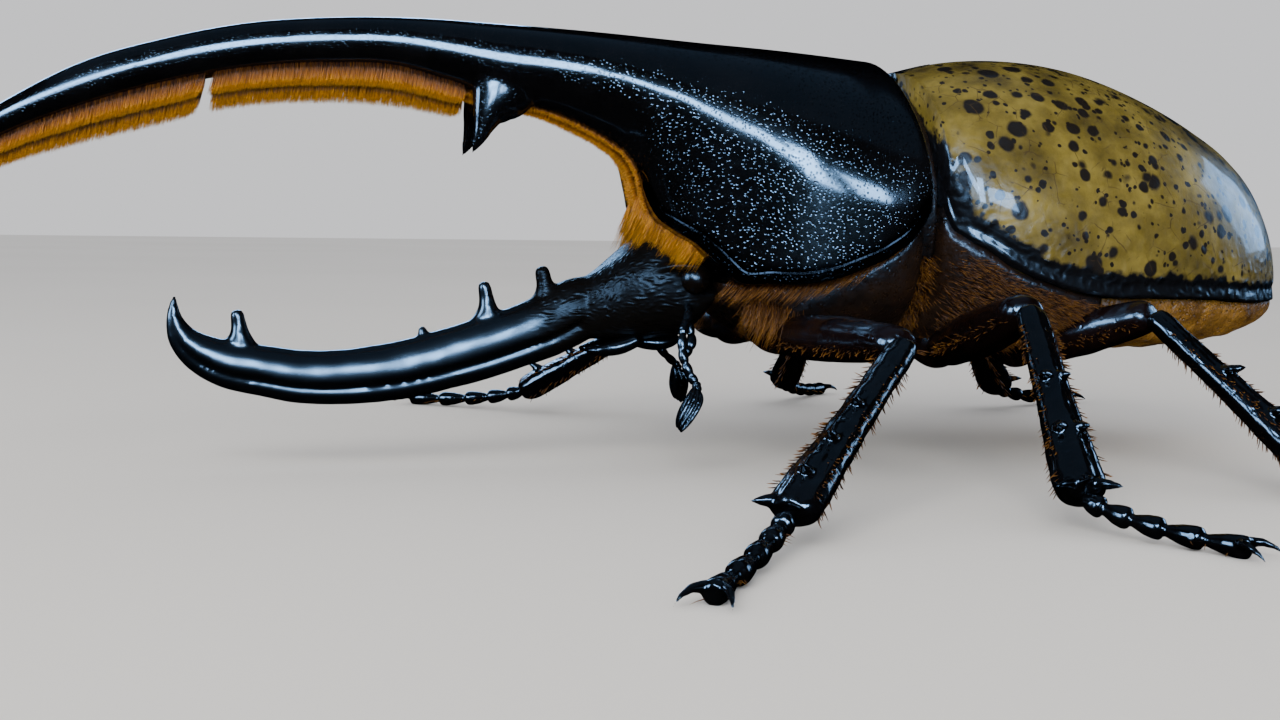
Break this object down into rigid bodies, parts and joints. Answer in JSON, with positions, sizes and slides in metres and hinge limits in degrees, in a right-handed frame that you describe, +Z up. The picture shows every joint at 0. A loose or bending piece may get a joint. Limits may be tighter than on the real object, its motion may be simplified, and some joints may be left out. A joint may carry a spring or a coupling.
{
  "type": "hercules beetle",
  "caption": "Life-size male hercules beetle standing on six legs, with a long fringed upper horn, a toothed lower horn and spotted olive wing cases.",
  "frame": {"origin": "middle of the animal's box, on the floor that its feet stand on", "axes": "+X runs back along the body from the horns to the wing cases, +Y to the animal's right, +Z up"},
  "size_m": [0.1687, 0.1359, 0.0495],
  "materials": {
    "shell_black": "polished horn, finely pitted",
    "elytra_olive": "satin olive shell with dark spots",
    "underside_brown": "golden brown, satin, ridged",
    "bristles_orange": "combed orange bristles",
    "eye_brown": "polished dark brown eye"
  },
  "bodies": {
    "root": {"abdomen": "underside_brown", "antenna_club_left": "shell_black", "antenna_club_right": "shell_black", "antenna_left": "shell_black", "antenna_right": "shell_black", "cephalic_horn": "shell_black", "elytron_left": "elytra_olive", "elytron_right": "elytra_olive", "eye_left": "eye_brown", "eye_right": "eye_brown", "front_left_coxa": "shell_black", "front_left_femur": "shell_black", "front_left_tarsus": "shell_black", "front_left_tibia": "shell_black", "front_right_coxa": "shell_black", "front_right_femur": "shell_black", "front_right_tarsus": "shell_black", "front_right_tibia": "shell_black", "head": "shell_black", "hind_left_coxa": "shell_black", "hind_left_femur": "shell_black", "hind_left_tarsus": "shell_black", "hind_left_tibia": "shell_black", "hind_right_coxa": "shell_black", "hind_right_femur": "shell_black", "hind_right_tarsus": "shell_black", "hind_right_tibia": "shell_black", "mandible_left": "shell_black", "mandible_right": "shell_black", "maxillary_palp_left": "shell_black", "maxillary_palp_right": "shell_black", "mentum": "shell_black", "mesothorax": "bristles_orange", "metathorax": "underside_brown", "middle_left_coxa": "shell_black", "middle_left_femur": "shell_black", "middle_left_tarsus": "shell_black", "middle_left_tibia": "shell_black", "middle_right_coxa": "shell_black", "middle_right_femur": "shell_black", "middle_right_tarsus": "shell_black", "middle_right_tibia": "shell_black", "pronotum": "shell_black", "prosternum": "underside_brown", "pygidium": "underside_brown", "scutellum": "shell_black", "thoracic_horn": "shell_black"}
  },
  "joints": []
}
